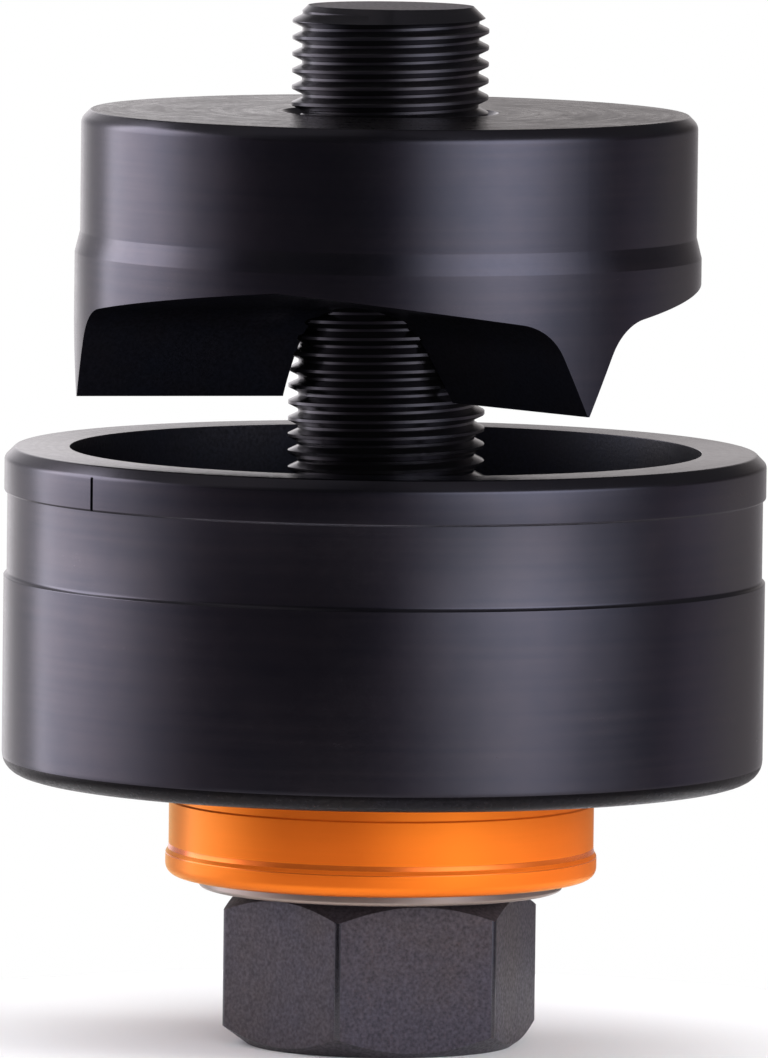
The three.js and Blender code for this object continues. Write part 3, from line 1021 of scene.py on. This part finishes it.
def dome():
    """A sphere round the studio whose glow depends on the direction, unseen by the camera."""
    shell = bmesh.new()
    bmesh.ops.create_uvsphere(
        shell, u_segments=DOME_SEGMENTS, v_segments=DOME_RINGS, radius=DOME_RADIUS * MM,
    )
    obj = place_in_scene("studio_dome", mesh_from("studio_dome", shell))
    material = bpy.data.materials.new("studio_dome")
    nodes = Nodes(material)
    nodes.tree.nodes.clear()

    spoke = nodes.add("ShaderNodeVectorMath", {0: nodes.place()}, operation="NORMALIZE").outputs[0]

    def share_of(direction):
        links = {0: spoke, 1: direction}
        return nodes.add("ShaderNodeVectorMath", links, operation="DOT_PRODUCT").outputs["Value"]

    sides = {0: share_of(right), 1: share_of(towards)}
    angle = nodes.add("ShaderNodeMath", sides, operation="ARCTAN2").outputs[0]
    share = nodes.remap(angle, -math.pi, math.pi)
    height = nodes.add("ShaderNodeSeparateXYZ", {0: spoke}).outputs["Z"]

    def ramp_of(stops, peak=DOME_PEAK):
        """A smooth ramp round the dome, with its levels as shares of the peak."""
        ramp = nodes.add("ShaderNodeValToRGB", {"Fac": share})
        ramp.color_ramp.interpolation = "CARDINAL"
        elements = ramp.color_ramp.elements
        elements.remove(elements[-1])
        for number, (degrees, levels) in enumerate(stops):
            position = (degrees + 180) / 360
            element = elements[0] if number == 0 else elements.new(position)
            element.position = position
            element.color = (*(level / peak for level in levels), 1)
        return ramp.outputs["Color"]

    def blend(factor, start, end):
        links = {"Factor": factor, 6: start, 7: end}
        return nodes.add("ShaderNodeMix", links, data_type="RGBA").outputs[2]

    top = ramp_of([(degrees, (rise,) * 3) for degrees, rise in DOME_TOPS], peak=1)
    over = nodes.plus(top, DOME_TOP_EDGE)
    inside = nodes.remap(height, top, over, 1.0, 0.0, interpolation_type="SMOOTHSTEP")
    glowing = blend(nodes.remap(height, *DOME_STEP), ramp_of(DOME_WALLS), ramp_of(DOME_BOXES))
    colour = blend(inside, ramp_of(DOME_CEILING), glowing)
    ground = (*(level / DOME_PEAK for level in DOME_GROUND), 1)
    colour = blend(nodes.remap(height, *DOME_GROUND_EDGE), ground, colour)
    glow = nodes.add("ShaderNodeEmission", {"Color": colour, "Strength": DOME_PEAK}).outputs[0]
    nodes.add("ShaderNodeOutputMaterial", {"Surface": glow})
    obj.data.materials.append(material)
    obj.visible_camera = False
    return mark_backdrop(obj)


def floor():
    """A small round floor of pale paper under the object."""
    disc = lathe("floor", [
        (0, 0), (FLOOR_RADIUS, 0), (FLOOR_RADIUS, -FLOOR_THICKNESS), (0, -FLOOR_THICKNESS),
    ], sides=FLOOR_SIDES)
    paper = fibrous("floor_paper", (0.9, 0.9, 0.9), 0.8, 900.0, 4.0, 0.2, 0.02)
    set_gloss(paper, 0.1, (1.0, 1.0, 1.0))
    disc.data.materials.append(paper)
    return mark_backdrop(disc)


def soft_light(name, place, size, energy):
    """A soft light towards the object that lights dull surfaces but isn't mirrored in the metal."""
    data = bpy.data.lights.new(name, "AREA")
    data.shape = "DISK"
    data.size = size
    data.energy = energy
    lamp = place_in_scene(name, data)
    lamp.location = place
    lamp.rotation_euler = (place - aim).to_track_quat("Z", "Y").to_euler()
    lamp.visible_camera = False
    lamp.visible_glossy = False
    return lamp


world = bpy.data.worlds.new("surroundings")
bpy.context.scene.world = world
world.use_nodes = True
background = world.node_tree.nodes["Background"]
background.inputs["Color"].default_value = (1, 1, 1, 1)
background.inputs["Strength"].default_value = 1.0
floor()
dome()

# Lamps: name, place and width in metres, and watts
LAMPS = [
    ("top_light", Vector((0, 0, 0.6)), 1.5, 8.0),
    ("front_light", aim + towards * 0.8 + right * 0.13 + Vector((0, 0, 0.04)), 0.5, 5.6),
    ("side_light", aim + right * 0.75 + towards * 0.1 + Vector((0, 0, 0.1)), 0.4, 4.8),
]
for lamp in LAMPS:
    soft_light(*lamp)

bpy.context.scene.view_settings.view_transform = "Standard"
